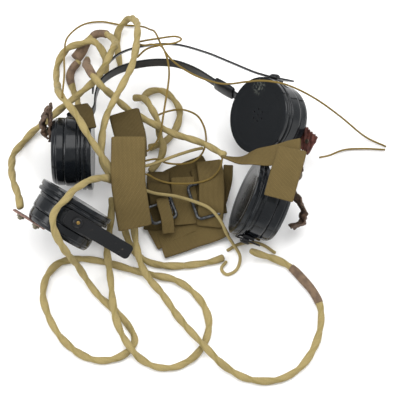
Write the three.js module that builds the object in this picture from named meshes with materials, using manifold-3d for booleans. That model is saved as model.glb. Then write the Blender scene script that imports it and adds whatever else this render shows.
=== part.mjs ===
// Two military radio headsets tangled together: four bakelite receivers, a double steel
// headband, a webbing head harness with wire buckles, and twisted cotton-covered cords.
// Millimetres, +Z up. The origin is on the flat underside of the folded webbing.
import * as THREE from 'three'
import { mergeVertices } from 'three/addons/utils/BufferGeometryUtils.js'
import Module from 'manifold-3d'

const wasm = await Module()
wasm.setup()

// ---- driving dimensions ----
const GAP = 0.3 // left between pieces that touch
const ROUND = 32 // sides of a turned piece

const CAP_R = 31 // ear cap, and so the receiver
const CAP_DEPTH = 8
const CASE_R = 28
const CASE_END = 22 // where the back cover starts, from the listening face
const COVER_R = 27.2
const RECEIVER_DEPTH = 32
const WALL = 2.6
const NECK_R = 26.5 // threaded neck that the cap screws onto
const NECK_START = 4.4
const FACE_THICK = 3
const SOUND_HOLE_R = 0.8
const SOUND_HOLE_RING = 5
const DIAPHRAGM_THICK = 0.4
const PIVOT_AT = 14 // swivel rivet, from the listening face
const RIVET_R = 2.6
const RIVET_CLEARANCE = 0.5
const LUG_REACH = 35 // rivet head, from the receiver's axis
const END_PLATE_AT = 31.2 // inner face of the band's end plate, from the receiver's axis
const STEEL = 1.4 // thickness of end plates and bands

const BAND_WIDTH = 12
const OUTER_BAND_WIDTH = 11
const WEBBING = 27 // width of the khaki webbing
const WEBBING_THICK = 3

const CORD_R = 2.75 // twisted two-core cord
const LEAD_R = 1.3 // thin cloth-covered cord
const WIRE_R = 0.8 // single wire

const VIEW_SIDE = [0, -0.423, 0.906] // upwards and towards the front

// ---- materials ----
const paint = (color, roughness, metalness = 0) => ({ color, roughness, metalness })
const BAKELITE = paint(0x101216, 0.3)
const STEEL_BLACK = paint(0x1b1b1c, 0.45, 0.6)
const IRON = paint(0x55565a, 0.5, 0.8)
const COPPER = paint(0x8a4a22, 0.4, 0.8)
const FIBRE = paint(0x5a352b, 0.8)
const KHAKI = paint(0x7d6b3f, 0.95)
const STRAW = paint(0xb2a266, 0.9)
const WHIPPING = paint(0x64503f, 0.9)
const WIRE_YELLOW = paint(0xa88a45, 0.7)

const object = new THREE.Group()
const vec = (p) => new THREE.Vector3(...p)

function add(name, geometry, finish, parent = object) {
  const mesh = new THREE.Mesh(geometry, new THREE.MeshStandardMaterial(finish))
  mesh.name = name
  parent.add(mesh)
}

// ---- solids ----
function solid(geometry) {
  const bare = geometry.clone()
  bare.deleteAttribute('normal')
  bare.deleteAttribute('uv')
  const merged = mergeVertices(bare, 1e-4)
  return new wasm.Manifold(
    new wasm.Mesh({
      numProp: 3,
      vertProperties: new Float32Array(merged.attributes.position.array),
      triVerts: new Uint32Array(merged.index.array),
    })
  )
}

function geometryOf(shape) {
  const mesh = shape.getMesh()
  const geometry = new THREE.BufferGeometry()
  geometry.setAttribute('position', new THREE.BufferAttribute(mesh.vertProperties, 3))
  geometry.setIndex(new THREE.BufferAttribute(mesh.triVerts, 1))
  return geometry
}

const join = (...parts) => geometryOf(parts.map(solid).reduce((a, b) => a.add(b)))
const cut = (body, ...tools) =>
  geometryOf(tools.map(solid).reduce((a, b) => a.subtract(b), solid(body)))

// A turned piece about Z from [radius, height] points.
function turned(profile, sides = ROUND) {
  const points = profile.map(([r, z]) => new THREE.Vector2(r, z))
  return new THREE.LatheGeometry(points, sides).rotateX(Math.PI / 2)
}

function block(low, high) {
  const size = high.map((v, i) => v - low[i])
  const middle = high.map((v, i) => (v + low[i]) / 2)
  return new THREE.BoxGeometry(...size).translate(...middle)
}

// A cylinder along Z, from z = start to z = end, centred on (x, y).
function rod(r, start, end, x = 0, y = 0, sides = 12) {
  const geometry = new THREE.CylinderGeometry(r, r, end - start, sides).rotateX(Math.PI / 2)
  return geometry.translate(x, y, (start + end) / 2)
}

// A cylinder along X, from x = start to x = end.
const pin = (r, start, end, z, sides = 12) =>
  rod(r, start, end, 0, 0, sides).rotateY(Math.PI / 2).translate(0, 0, z)

// A round tube through points.
function tube(points, r, sides, steps, closed = false) {
  const section = new THREE.Shape()
  for (let i = 0; i < sides; i++) {
    const a = (2 * Math.PI * i) / sides
    if (i === 0) section.moveTo(r * Math.cos(a), r * Math.sin(a))
    else section.lineTo(r * Math.cos(a), r * Math.sin(a))
  }
  const path = new THREE.CatmullRomCurve3(points.map(vec), closed, 'centripetal')
  return new THREE.ExtrudeGeometry(section, { steps, extrudePath: path })
}

// A flat strip: the curve through the points is its middle line, and each point has the
// direction that the strip's width runs in there. The four corners of its section are
// joined from station to station, and both ends are closed.
function strip(points, widthways, width, thick, steps) {
  const path = new THREE.CatmullRomCurve3(points.map(vec), false, 'centripetal')
  const across = new THREE.CatmullRomCurve3(widthways.map(vec), false, 'centripetal')
  const corners = []
  for (let i = 0; i <= steps; i++) {
    const at = path.getPoint(i / steps)
    const along = path.getTangent(i / steps)
    const wide = across.getPoint(i / steps)
    wide.addScaledVector(along, -wide.dot(along)).normalize()
    const face = new THREE.Vector3().crossVectors(along, wide)
    for (const [a, b] of [[1, 1], [-1, 1], [-1, -1], [1, -1]]) {
      const corner = at.clone().addScaledVector(wide, (a * width) / 2)
      corners.push(...corner.addScaledVector(face, (b * thick) / 2).toArray())
    }
  }
  const triangles = [0, 2, 1, 0, 3, 2]
  for (let i = 0; i < steps; i++) {
    for (let k = 0; k < 4; k++) {
      const a = 4 * i + k
      const b = 4 * i + ((k + 1) % 4)
      triangles.push(a, b, a + 4, b, b + 4, a + 4)
    }
  }
  const last = 4 * steps
  triangles.push(last, last + 1, last + 2, last, last + 2, last + 3)
  const geometry = new THREE.BufferGeometry()
  geometry.setAttribute('position', new THREE.Float32BufferAttribute(corners, 3))
  geometry.setIndex(triangles)
  return geometry
}

// ---- one receiver, about Z, with its listening face at z = 0 and its back at +Z ----
function earCap() {
  const shell = turned([
    [0, 0],
    [CAP_R - 1.5, 0],
    [CAP_R, 1.4],
    [CAP_R, 4],
    [CAP_R - 1.2, 4.6],
    [CAP_R - 1.2, 5.4],
    [CAP_R, 6],
    [CAP_R, CAP_DEPTH],
    [NECK_R + GAP, CAP_DEPTH],
    [NECK_R + GAP, FACE_THICK],
    [0, FACE_THICK],
  ])
  const holes = [rod(SOUND_HOLE_R, -1, FACE_THICK + 1, 0, 0, 8)]
  for (let i = 0; i < 6; i++) {
    const a = (i * Math.PI) / 3
    const [x, y] = [SOUND_HOLE_RING * Math.cos(a), SOUND_HOLE_RING * Math.sin(a)]
    holes.push(rod(SOUND_HOLE_R, -1, FACE_THICK + 1, x, y, 8))
  }
  return cut(shell, ...holes)
}

const diaphragm = () =>
  rod(NECK_R - 0.3, FACE_THICK + GAP, FACE_THICK + GAP + DIAPHRAGM_THICK, 0, 0, ROUND)

function caseShell() {
  const inner = CASE_R - WALL
  return turned([
    [0, CASE_END - WALL],
    [inner - 1.5, CASE_END - WALL],
    [inner - 1.5, NECK_START],
    [NECK_R - GAP, NECK_START],
    [NECK_R - GAP, CAP_DEPTH + GAP],
    [CASE_R, CAP_DEPTH + GAP],
    [CASE_R, CASE_END - GAP],
    [0, CASE_END - GAP],
  ])
}

// Ring magnet with two upright pole bars that face the diaphragm.
function magnet() {
  const top = CASE_END - WALL - GAP
  const ring = turned([[6, top - 4], [20, top - 4], [20, top], [6, top], [6, top - 4]], 20)
  const poles = [-9, 9].map((x) => block([x - 1.5, -4, NECK_START + 0.8], [x + 1.5, 4, top - 2]))
  return join(ring, ...poles)
}

// Two bobbins around the pole bars, on one thin base.
function coils() {
  const [low, high] = [NECK_START + 2.6, CASE_END - WALL - GAP - 4 - GAP]
  const base = block([-15, -8, high - 0.8], [15, 8, high])
  const bobbins = [-9, 9].map((x) => block([x - 4.5, -7, low], [x + 4.5, 7, high - 0.4]))
  const bores = [-9, 9].map((x) => block([x - 1.9, -4.4, low - 1], [x + 1.9, 4.4, high + 1]))
  return cut(join(base, ...bobbins), ...bores)
}

const backCover = () =>
  turned([
    [0, RECEIVER_DEPTH - WALL],
    [COVER_R - WALL, RECEIVER_DEPTH - WALL],
    [COVER_R - WALL, CASE_END],
    [COVER_R, CASE_END],
    [COVER_R, RECEIVER_DEPTH - 1.5],
    [COVER_R - 1.5, RECEIVER_DEPTH],
    [0, RECEIVER_DEPTH],
  ])

// Saddle on the side of the case, with the rivet that the band's end plate turns on.
// The rivet points along +X.
function swivelLug() {
  const seat = CASE_R + GAP
  const saddle = block([seat, -6, PIVOT_AT - 5], [seat + 2.2, 6, PIVOT_AT + 6])
  const shank = pin(RIVET_R, seat + 1, LUG_REACH - 1, PIVOT_AT)
  const head = pin(RIVET_R + 1.8, END_PLATE_AT + STEEL + GAP, LUG_REACH, PIVOT_AT)
  return join(saddle, shank, head)
}

// Fibre tab across the back, pointing along +X, with two screws and their nuts.
function terminalTab() {
  const back = RECEIVER_DEPTH + GAP
  const tab = block([10, -8.5, back], [38, 8.5, back + 1.6])
  const screws = [17, 31].map((x) => rod(1.9, back + 1, back + 5.5, x, 0, 8))
  const nuts = [17, 31].map((x) => rod(3.2, back + 1, back + 3.8, x, 0, 6))
  return join(tab, ...screws, ...nuts)
}

// A group whose +Z runs to the receiver's back and whose +X is the direction given.
function placed(face, back, towards) {
  const z = vec(back).normalize()
  const x = vec(towards)
  x.addScaledVector(z, -x.dot(z)).normalize()
  const y = new THREE.Vector3().crossVectors(z, x)
  const group = new THREE.Group()
  group.quaternion.setFromRotationMatrix(new THREE.Matrix4().makeBasis(x, y, z))
  group.position.set(...face)
  object.add(group)
  return group
}

// face: centre of the listening face. back: direction from the face to the back.
// lug: direction of the swivel rivet. tab: direction of the terminal tab.
const RECEIVERS = {
  upper_left: { face: [-86, 38, 31], back: [-1, 0, 0], lug: [0, 1, 0], tab: [0, 0.75, 0.66] },
  lower_left: {
    face: [-96, -11, 45],
    back: [-0.524, -0.772, -0.36],
    lug: [0.291, -0.56, 0.776],
    tab: [-0.852, 0.475, 0.222],
  },
  upper_right: {
    face: [46, 62, 48],
    back: [0.71, 0.21, -0.671],
    lug: [0.13, 0.897, 0.419],
    tab: [0.535, -0.783, 0.323],
  },
  lower_right: {
    face: [35, -4, 36],
    back: [0.916, -0.258, -0.308],
    lug: [-0.369, -0.843, -0.392],
    tab: [0.369, 0.843, 0.392],
  },
}

for (const [name, place] of Object.entries(RECEIVERS)) {
  const body = placed(place.face, place.back, place.lug)
  add(`${name}_ear_cap`, earCap(), BAKELITE, body)
  add(`${name}_diaphragm`, diaphragm(), IRON, body)
  add(`${name}_case`, caseShell(), BAKELITE, body)
  add(`${name}_magnet`, magnet(), IRON, body)
  add(`${name}_coils`, coils(), COPPER, body)
  add(`${name}_back_cover`, backCover(), BAKELITE, body)
  add(`${name}_swivel_lug`, swivelLug(), STEEL_BLACK, body)
  add(`${name}_terminal_tab`, terminalTab(), FIBRE, placed(place.face, place.back, place.tab))
}

// An end plate that turns on a receiver's rivet. low and high are its corners across the
// band and along the receiver's axis, and the rivet hole is at the pivot.
function endPlate(name, low, high) {
  const { face, back, lug } = RECEIVERS[name]
  const frame = placed(face, back, lug)
  object.remove(frame)
  frame.updateMatrix()
  const outer = END_PLATE_AT + STEEL
  const plate = block([END_PLATE_AT, low[0], low[1]], [outer, high[0], high[1]])
  const hole = pin(RIVET_R + RIVET_CLEARANCE, END_PLATE_AT - 1, outer + 1, PIVOT_AT)
  return cut(plate, hole).applyMatrix4(frame.matrix)
}

// ---- steel headband ----
const UP = [0, 0, 1]
const INNER_BAND = [
  [-95, 69.9, 31],
  [-90, 71, 31],
  [-86, 77, 31],
  [-85, 89, 31],
  [-81, 101, 31],
  [-68, 112, 31],
  [-45, 119, 31],
  [-22, 119, 31],
  [-4, 112, 31],
  [12, 101, 31],
  [30, 88.5, 30.5],
]
const inner = strip(INNER_BAND, INNER_BAND.map(() => UP), BAND_WIDTH, STEEL, 40)
add('inner_band', join(endPlate('upper_left', [-6, 5], [6, 22]), inner), STEEL_BLACK)

const OUTER_BAND = [
  [-87.5, 92, 33],
  [-86, 101, 33],
  [-80, 111, 34],
  [-66, 124, 38],
  [-42, 129, 43],
  [-20, 128, 46],
  [4, 118, 51],
  [24, 106, 56],
  [44, 94.5, 59.5],
  [54, 92, 58],
  [58, 93, 54.2],
]
const outerWays = OUTER_BAND.map(() => VIEW_SIDE)
const outer = strip(OUTER_BAND, outerWays, OUTER_BAND_WIDTH, STEEL, 40)
add('outer_band', join(endPlate('upper_right', [-6, 8], [6, 33]), outer), STEEL_BLACK)

// Flat steel stub on each lower receiver, where the webbing harness buttons on.
add('lower_left_end_strip', endPlate('lower_left', [-50, 8], [11, 20]), STEEL_BLACK)
add('lower_right_end_strip', endPlate('lower_right', [-9, 6], [9, 26]), STEEL_BLACK)

// Clip that slides on the straight stretch of the inner band.
const SLIDER_AT = [20, 95.5, 31]
const SLIDER_TURN = -0.6
const SLOT = [12, STEEL / 2 + 0.9, BAND_WIDTH / 2 + 0.9]
const slot = block(SLOT.map((v) => -v), SLOT)
const clip = cut(block([-9, -3, -8], [9, 3, 8]), slot)
add('band_slider', clip.rotateZ(SLIDER_TURN).translate(...SLIDER_AT), STEEL_BLACK)

// ---- khaki webbing and its wire buckles ----
const ACROSS = [1, 0, 0]
add(
  'webbing_left_strap',
  strip(
    [[-56, 32, 67], [-56, 13, 65], [-56, -1, 60], [-54, -15, 50], [-51, -30, 34]],
    [ACROSS, ACROSS, [1, 0.05, 0], [1, 0.15, 0], [1, 0.3, 0]],
    WEBBING, WEBBING_THICK, 8
  ),
  KHAKI
)
add(
  'webbing_left_fold',
  strip(
    [[-54, 20, 58], [-55, 38, 55], [-58, 52, 50], [-61, 66, 44]],
    [ACROSS, [1, 0.1, 0], [1, 0.3, 0], [1, 0.6, 0]],
    WEBBING - 2, WEBBING_THICK, 6
  ),
  KHAKI
)
add(
  'webbing_right_strap',
  strip(
    [[23, 27, 46], [33, 23, 56], [45, 20, 65], [58, 17, 72], [69, 14, 77], [77, 10, 81],
      [76, 2, 83], [69, -8, 83], [60, -20, 79]],
    [VIEW_SIDE, VIEW_SIDE, [0.1, 0, 0.9], [0.3, 0.5, 0.8], [0.6, 0.8, 0.5], [0.9, 0.7, 0.2],
      [1, 0.2, 0], [1, -0.3, 0], [1, -0.2, -0.2]],
    WEBBING - 7, WEBBING_THICK, 12
  ),
  KHAKI
)

const PILE_OUTLINE = [[-44, -24], [-22, -44], [14, -32], [19, -12], [19, 20], [2, 36], [-38, 24], [-46, 0]]
const PILE_HEIGHT = 15
const pileShape = new THREE.Shape(PILE_OUTLINE.map(([x, y]) => new THREE.Vector2(x, y)))
const pile = new THREE.ExtrudeGeometry(pileShape, { depth: PILE_HEIGHT, bevelEnabled: false })
add('webbing_pile', pile, KHAKI)

// Wire frame with two slots for the strap.
function buckle() {
  const frame = block([-12, -17, 0], [12, 17, 2.6])
  const slots = [-1, 1].map((side) => block([-9.4, 1.3 * side, -1], [9.4, 14.4 * side, 4]))
  slots[0] = block([-9.4, -14.4, -1], [9.4, -1.3, 4])
  return cut(frame, ...slots)
}
add('left_buckle', buckle().rotateZ(0.35).translate(-33, -2, PILE_HEIGHT + GAP), STEEL_BLACK)
add('right_buckle', buckle().rotateZ(0.3).translate(4, 2, PILE_HEIGHT + GAP), STEEL_BLACK)

// ---- cords, each from one end of its run to the other ----
const CORDS = {
  lower_left_lead: [
    [-141, -16.5, 42.3], [-143, -6, 40], [-148, 9, 32], [-152, 28, 20], [-152, 47, 9],
    [-146, 59, 4], [-138, 69, 5], [-126, 73, 16], [-113, 75, 34], [-101, 80, 44], [-91, 89, 45],
    [-84, 98, 43.5], [-77, 110, 45], [-72, 123, 45], [-70, 136, 34], [-74, 150, 20],
    [-81, 159, 11], [-88, 160, 8], [-94, 154, 8],
  ],
  right_leg: [
    [-94.5, 135, 8.5], [-94, 122, 24], [-91, 107, 46], [-86, 94, 55], [-79, 85, 54], [-70, 81, 44],
    [-60, 76, 34], [-49, 70, 30], [-37, 64, 28], [-19, 54, 29], [-7, 49, 31], [4, 43, 34],
    [12, 36, 38], [19, 29.5, 42],
  ],
  left_leg: [[-102, 134, 7], [-107, 129, 4], [-109, 122, 3], [-106, 110, 3], [-102, 98, 8], [-100, 87, 16]],
  apex_loop: [
    [-67, 132, 3], [-70, 152, 3], [-69, 165, 6], [-61, 170, 16], [-53, 156, 36], [-51, 138, 52],
    [-52, 120, 54], [-55, 104, 54], [-60, 90, 56], [-68, 72, 57], [-74, 58, 56], [-77, 46, 53],
    [-78, 31, 50], [-77, 21, 47], [-72, 12, 42],
  ],
  left_loop: [
    [-79, 122, 10], [-79, 131, 17], [-83, 140, 20], [-90, 146, 21], [-100, 145, 18],
    [-111, 144, 12], [-119, 135, 5], [-120, 120, 8], [-117, 101, 22], [-115, 88, 42],
    [-112, 75, 60], [-105, 62, 68], [-96, 49, 69], [-89, 36, 68], [-81, 24, 65], [-74, 15, 59],
    [-68, 8, 53],
  ],
  long_lead: [
    [-60, 0, 42], [-66, 2, 48], [-73, 1, 58], [-79, -3, 66], [-85, -8, 73], [-91, -15, 79],
    [-97, -21, 81.5], [-102, -27, 80], [-108, -32, 77], [-112, -38, 74], [-112, -45, 69],
    [-109, -52, 62], [-105, -56, 52], [-101, -57, 38], [-96, -58, 22], [-89, -65, 8], [-80, -76, 4],
    [-69, -86, 3], [-56, -101, 3], [-51, -113, 3], [-57, -123, 3], [-69, -129, 3], [-83, -129, 3],
    [-97, -122, 3], [-110, -109, 3], [-119, -93, 3], [-124, -76, 3], [-122, -60, 3],
    [-113, -48, 3], [-99, -44, 3], [-84, -45, 3], [-68, -49, 3], [-52, -54, 3], [-36, -58, 3],
    [-20, -62, 3], [-7, -71, 3], [3, -84, 3], [7, -99, 3], [4, -114, 3], [-5, -127, 3],
    [-19, -135, 3], [-34, -135, 3], [-47, -128, 4], [-57, -117, 9], [-64, -103, 10],
    [-68, -87, 10], [-70, -70, 9.5], [-72, -54, 9.5], [-74, -40, 9], [-73, -28, 10], [-71, -16, 18],
    [-70, -4, 30],
  ],
  right_loop: [
    [-54, -2, 30], [-53, -14, 24], [-52, -27, 18], [-50, -40, 15], [-47, -52, 13], [-40, -64, 9.5],
    [-30, -75, 6], [-17, -94, 4], [-6, -109, 8], [5, -122, 9.5], [15, -132, 7], [25, -139, 4],
    [38, -145, 3], [58, -146, 3], [75, -138, 3], [87, -123, 3], [94, -104, 3], [95, -86, 3], [90, -73, 3],
    [82, -62, 3], [72, -51, 3], [61, -45, 4], [49, -43, 9], [41, -42, 14],
  ],
  strap_cord: [
    [-63, 2, 38], [-63, -8, 27], [-61, -19, 16], [-57, -30, 6], [-50, -40, 3], [-40, -47, 3],
    [-24, -50, 3], [-6, -49, 3], [10, -46, 3], [18, -43, 3],
  ],
  tangle_ring: [
    [-48, 100, 6], [-42, 106, 6], [-32, 107, 6], [-23, 100, 6], [-17, 89, 6], [-18, 77, 6],
    [-23, 66, 6], [-31, 58, 6], [-41, 54, 6],
  ],
  tangle_bight: [
    [-54, 97, 12], [-46, 93, 18], [-39, 81, 21], [-34, 69, 20], [-33, 59, 18], [-30, 50, 15],
    [-33, 41, 9], [-40, 32, 8],
  ],
}
const CORD_STEP = 18 // length of one straight facet of a tube

function cord(name, points, r, sides, step) {
  const length = points.slice(1).reduce((sum, p, i) => sum + vec(p).distanceTo(vec(points[i])), 0)
  add(name, tube(points, r, sides, Math.round(length / step)), r > 2 ? STRAW : WIRE_YELLOW)
}
for (const [name, points] of Object.entries(CORDS)) cord(`cord_${name}`, points, CORD_R, 10, CORD_STEP)

// Whipped joint where the two legs meet.
add('cord_y_splitter', block([-5, -5.5, 0], [5, 5.5, 7]).rotateZ(-0.4).translate(-99, 144, 4.5), WHIPPING)

const WIRES = {
  long: [
    [-109, 66, 70], [-109, 92, 58], [-112, 129, 30], [-111, 154, 14], [-99, 172, 4], [-85, 176, 2],
    [-68, 173, 2], [-52, 171, 3], [-42, 152, 30], [-36, 135, 52], [-31, 122, 54], [-25, 115, 48],
    [-16, 109, 43], [-2, 100, 43], [15, 91, 48], [25, 85, 58], [36, 79, 72], [49, 74, 83],
    [61, 73, 82], [75, 77, 66], [95, 80, 40], [116, 78, 14], [137, 65, 3], [153, 57, 2],
  ],
  return: [[152, 54, 2], [136, 55, 2], [119, 54, 2], [106, 46, 8], [97, 38, 20]],
  arc: [
    [-51, 115, 48], [-44, 120, 52], [-32, 120, 59], [-19, 122, 60], [-15, 125, 60], [-19, 128, 59],
    [-37, 128, 55], [-47, 129, 50], [-52, 128, 49], [-46, 124, 52], [-38, 119, 62], [-31, 116, 64],
    [-27, 110, 58], [-25, 101, 50], [-26, 88, 46], [-28, 75, 44], [-30, 62, 40], [-32, 53, 34],
    [-36, 46, 29], [-42, 41, 26.5], [-48, 38, 26], [-51, 35, 24.5], [-48, 33, 22.5],
    [-41, 35, 21.5], [-35, 36, 21], [-27, 33, 20], [-16, 32, 20], [-6, 34, 20], [1, 41, 19],
    [4, 50, 16], [5, 60, 12], [3, 71, 12], [-3, 81, 12], [-15, 86, 12], [-26, 84, 13],
    [-33, 80, 15], [-37, 77, 16],
  ],
  swag: [
    [-50, 21, 24], [-43, 21, 24], [-36, 18, 22], [-27, 15, 21], [-14, 14, 21], [-2, 15, 21],
    [9, 19, 21], [16, 28, 21], [18, 36, 22],
  ],
}
for (const [name, points] of Object.entries(WIRES)) cord(`wire_${name}`, points, WIRE_R, 8, 14)
const LEADS = {
  lead_over_pile: [
    [21, -46, 2.2], [17, -52, 2], [21, -57, 2], [29, -53, 2], [32, -42, 3], [26, -32, 7],
    [21, -26, 13], [17, -19, 19], [8, -9, 23], [-4, -3, 23], [-20, 2, 23], [-36, 5, 22], [-44, 8, 22],
    [-51, 13, 23], [-54, 20, 25], [-50, 26, 26], [-43, 28, 25], [-33, 32, 24], [-20, 38, 23],
    [-6, 44, 21], [2, 46, 21],
  ],
  thin_lead: [[22, -36, 1.6], [30, -31, 1.6], [40, -29, 1.6], [50, -31, 1.6], [60, -38, 1.6]],
}
for (const [name, points] of Object.entries(LEADS)) cord(name, points, LEAD_R, 8, 12)

export default object
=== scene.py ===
"""Two radio headsets tangled together: four round bakelite receivers, a double steel
headband, a khaki webbing harness with wire buckles, and twisted cotton cords.

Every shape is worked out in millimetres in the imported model's frame: +Z up from the
table, +X to the right and +Y away from the viewer.
"""

import bpy
import numpy as np
from bpy.props import FloatProperty, FloatVectorProperty, PointerProperty
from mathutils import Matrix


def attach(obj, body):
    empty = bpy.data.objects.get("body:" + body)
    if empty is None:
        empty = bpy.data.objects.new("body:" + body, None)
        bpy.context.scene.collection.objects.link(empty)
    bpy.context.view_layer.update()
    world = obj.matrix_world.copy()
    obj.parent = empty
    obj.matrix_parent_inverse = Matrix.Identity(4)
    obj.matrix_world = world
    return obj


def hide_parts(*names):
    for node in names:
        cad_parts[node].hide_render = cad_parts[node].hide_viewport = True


bl_info = {
    "name": "Radio headphones",
    "version": (1, 0, 0),
    "blender": (4, 5, 0),
    "location": "View3D > Sidebar > Headphones",
    "description": "Builds the receivers, bands, harness and cords of tangled radio headphones",
    "category": "Object",
}

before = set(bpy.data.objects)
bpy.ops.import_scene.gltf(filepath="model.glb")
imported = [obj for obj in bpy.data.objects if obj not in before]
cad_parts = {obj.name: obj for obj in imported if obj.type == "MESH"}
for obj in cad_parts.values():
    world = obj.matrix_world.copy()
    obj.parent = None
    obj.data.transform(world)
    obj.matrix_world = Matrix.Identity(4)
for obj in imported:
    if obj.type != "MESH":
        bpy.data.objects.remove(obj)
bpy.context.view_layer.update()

MM = 0.001
ROOT = "headbands_and_cords"
CLIP = "band_clip"

# ---- sizes shared with the solids, in mm ----
CAP_R = 31
CAP_DEPTH = 8
CASE_R = 28
CASE_END = 22
COVER_R = 27.2
RECEIVER_DEPTH = 32
PIVOT_AT = 14
RIVET_R = 2.6
LUG_SEAT = 28.3
LUG_REACH = 35
END_PLATE_AT = 31.2
STEEL = 1.4
BAND_WIDTH = 12
OUTER_BAND_WIDTH = 11
WEBBING = 27
WEBBING_THICK = 3
LEAD_R = 1.3
WIRE_R = 0.8
SOUND_HOLE_R = 0.8
SOUND_HOLE_RING = 5

CORD_R = 3.0  # the finished cord at its widest, a little over its solid
THREAD_PITCH = 1.0
VIEW_SIDE = (0, -0.423, 0.906)  # towards the camera
TURN = 2 * np.pi

# face: centre of the listening face. back: from the face to the back. lug: towards the
# swivel rivet. tab: towards the terminal tab.
RECEIVERS = {
    "upper_left": ((-86, 38, 31), (-1, 0, 0), (0, 1, 0), (0, 0.75, 0.66)),
    "lower_left": (
        (-96, -11, 45), (-0.524, -0.772, -0.36), (0.291, -0.56, 0.776),
        (-0.852, 0.475, 0.222),
    ),
    "upper_right": (
        (46, 62, 48), (0.71, 0.21, -0.671), (0.13, 0.897, 0.419), (0.535, -0.783, 0.323),
    ),
    "lower_right": (
        (35, -4, 36), (0.916, -0.258, -0.308), (-0.369, -0.843, -0.392),
        (0.369, 0.843, 0.392),
    ),
}


# ======================= settings =======================
class HeadphoneSizes(bpy.types.PropertyGroup):
    cord_lay: FloatProperty(
        name="Cord lay", description="Length of one full turn of the twisted cord",
        default=35 * MM, min=10 * MM, max=0.1, unit="LENGTH",
    )
    cord_waist: FloatProperty(
        name="Cord waist", description="Narrowest width of the cord over its widest",
        default=0.76, min=0.55, max=1.0, subtype="FACTOR",
    )
    edge_round: FloatProperty(
        name="Edge rounding", description="Radius on the moulded edges of a receiver",
        default=0.7 * MM, min=0.2 * MM, max=1.2 * MM, unit="LENGTH",
    )
    weave_pitch: FloatProperty(
        name="Weave pitch", description="Distance between the ribs of the webbing",
        default=2.0 * MM, min=0.5 * MM, max=3 * MM, unit="LENGTH",
    )


class HeadphoneColours(bpy.types.PropertyGroup):
    bakelite: FloatVectorProperty(
        name="Bakelite", description="Colour of the moulded receivers", subtype="COLOR",
        default=(0.0055, 0.0068, 0.0085), min=0, max=1,
    )
    cotton: FloatVectorProperty(
        name="Cotton cord", description="Colour of the twisted cord", subtype="COLOR",
        default=(0.36, 0.285, 0.125), min=0, max=1,
    )
    webbing: FloatVectorProperty(
        name="Webbing", description="Colour of the khaki webbing", subtype="COLOR",
        default=(0.155, 0.112, 0.045), min=0, max=1,
    )
    wire: FloatVectorProperty(
        name="Wire", description="Colour of the cloth-covered wires", subtype="COLOR",
        default=(0.22, 0.15, 0.04), min=0, max=1,
    )


def sizes():
    return bpy.context.scene.headphone_sizes


def colours():
    return bpy.context.scene.headphone_colours


# ======================= shader expressions =======================
# Sockets of the Mix node when it mixes colours.
MIX_AMOUNT, MIX_LOW, MIX_HIGH, MIX_RESULT = 0, 6, 7, 2


class Value:
    """A socket in a material; arithmetic on it adds Math nodes."""

    def __init__(self, finish, socket):
        self.finish = finish
        self.socket = socket

    def math(self, operation, *values):
        inputs = dict(enumerate((self, *values)))
        return self.finish.node("ShaderNodeMath", {"operation": operation}, inputs)

    def __add__(self, other):
        return self.math("ADD", other)

    def __mul__(self, other):
        return self.math("MULTIPLY", other)

    def __sub__(self, other):
        return self.math("SUBTRACT", other)

    def __rsub__(self, other):
        inputs = {0: other, 1: self}
        return self.finish.node("ShaderNodeMath", {"operation": "SUBTRACT"}, inputs)

    __radd__ = __add__
    __rmul__ = __mul__

    def sine(self):
        return self.math("SINE")

    def size(self):
        return self.math("ABSOLUTE")

    def step(self, low, high):
        """0 below low and 1 above high, smooth between them."""
        values = {"Value": self, "From Min": low, "From Max": high}
        return self.finish.node(
            "ShaderNodeMapRange", {"interpolation_type": "SMOOTHSTEP"}, values
        )


class Finish:
    """One procedural material around a Principled shader."""

    def __init__(self, name):
        self.material = bpy.data.materials.new(name)
        self.material.use_nodes = True
        self.tree = self.material.node_tree
        self.shader = self.tree.nodes["Principled BSDF"]

    def node(self, kind, settings=None, inputs=None, output=0):
        """Add a node: its settings first, then the values or links of its sockets."""
        node = self.tree.nodes.new(kind)
        for key, value in (settings or {}).items():
            setattr(node, key, value)
        for key, value in (inputs or {}).items():
            if isinstance(value, Value):
                self.tree.links.new(value.socket, node.inputs[key])
            else:
                node.inputs[key].default_value = value
        return Value(self, node.outputs[output])

    def place(self):
        return self.node("ShaderNodeTexCoord", output="Object")

    def across_and_along(self):
        """The piece's own UV map, as two values."""
        uv = self.node("ShaderNodeTexCoord", output="UV")
        return (
            self.node("ShaderNodeSeparateXYZ", inputs={0: uv}, output=0),
            self.node("ShaderNodeSeparateXYZ", inputs={0: uv}, output=1),
        )

    def noise(self, size_mm, detail=4, roughness=0.55, stretch=None):
        """Noise from 0 to 1 with patches of about that size."""
        where = self.place()
        if stretch:
            where = self.node("ShaderNodeMapping", inputs={0: where, "Scale": stretch})
        values = {
            "Vector": where, "Scale": 1 / (size_mm * MM), "Detail": detail,
            "Roughness": roughness,
        }
        return self.node("ShaderNodeTexNoise", {"noise_dimensions": "3D"}, values)

    def blend(self, amount, low, high):
        """Colour between low and high; either may be a colour or a link."""
        values = {MIX_AMOUNT: amount, MIX_LOW: rgba(low), MIX_HIGH: rgba(high)}
        settings = {"data_type": "RGBA", "clamp_factor": True}
        return self.node("ShaderNodeMix", settings, values, output=MIX_RESULT)

    def near(self, point_mm, reach_mm):
        """1 at a point in the frame, fading to 0 at reach."""
        inputs = {0: self.place(), 1: [v * MM for v in point_mm]}
        gap = self.node("ShaderNodeVectorMath", {"operation": "DISTANCE"}, inputs, "Value")
        return 1 - gap.step(0, reach_mm * MM)

    def bump(self, height, depth_mm, strength=1.0):
        inputs = {"Height": height, "Distance": depth_mm * MM, "Strength": strength}
        self.set(Normal=self.node("ShaderNodeBump", inputs=inputs))
        return self

    def set(self, **values):
        for key, value in values.items():
            socket = self.shader.inputs[key.replace("_", " ")]
            if isinstance(value, Value):
                self.tree.links.new(value.socket, socket)
            else:
                socket.default_value = value
        return self


def rgba(colour):
    if isinstance(colour, Value):
        return colour
    return (*colour[:3], 1)


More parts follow.
